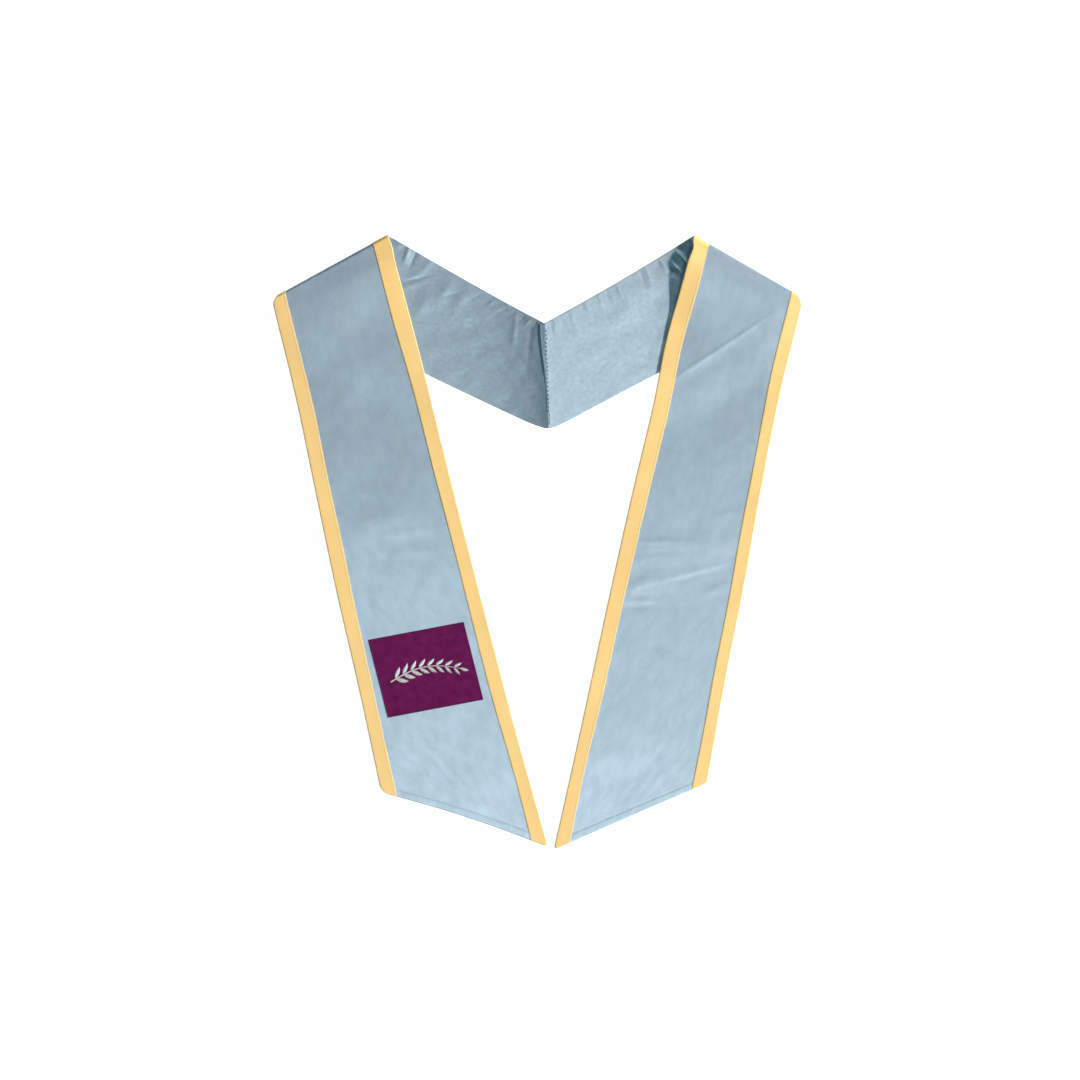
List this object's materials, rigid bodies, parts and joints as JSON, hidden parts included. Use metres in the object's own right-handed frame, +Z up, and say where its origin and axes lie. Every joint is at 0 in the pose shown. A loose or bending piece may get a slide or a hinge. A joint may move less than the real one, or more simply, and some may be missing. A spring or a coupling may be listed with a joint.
{
  "type": "tapered stole",
  "caption": "Satin stole folded flat at both shoulders, with a V-shaped nape, pointed front panels, ribbon edges and a plain patch.",
  "frame": {"origin": "on the surface that the stole lies on, under the middle of its bounding box", "axes": "+Z up, +Y towards the neck and shoulder folds, +X to the right as it is looked at from above"},
  "size_m": [0.4929, 0.5744, 0.0161],
  "materials": {
    "satin": "pale blue satin, half gloss",
    "lining": "pale blue satin lining",
    "ribbon": "gold grosgrain ribbon, matte",
    "patch": "plum embroidery, matte"
  },
  "bodies": {
    "root": {"left_face_satin": "satin", "left_lining": "lining", "left_neck_ribbon": "ribbon", "left_outer_ribbon": "ribbon", "right_face_satin": "satin", "right_lining": "lining", "right_neck_ribbon": "ribbon", "right_outer_ribbon": "ribbon", "nape_seam_lap": "lining", "patch": "patch"}
  },
  "joints": []
}
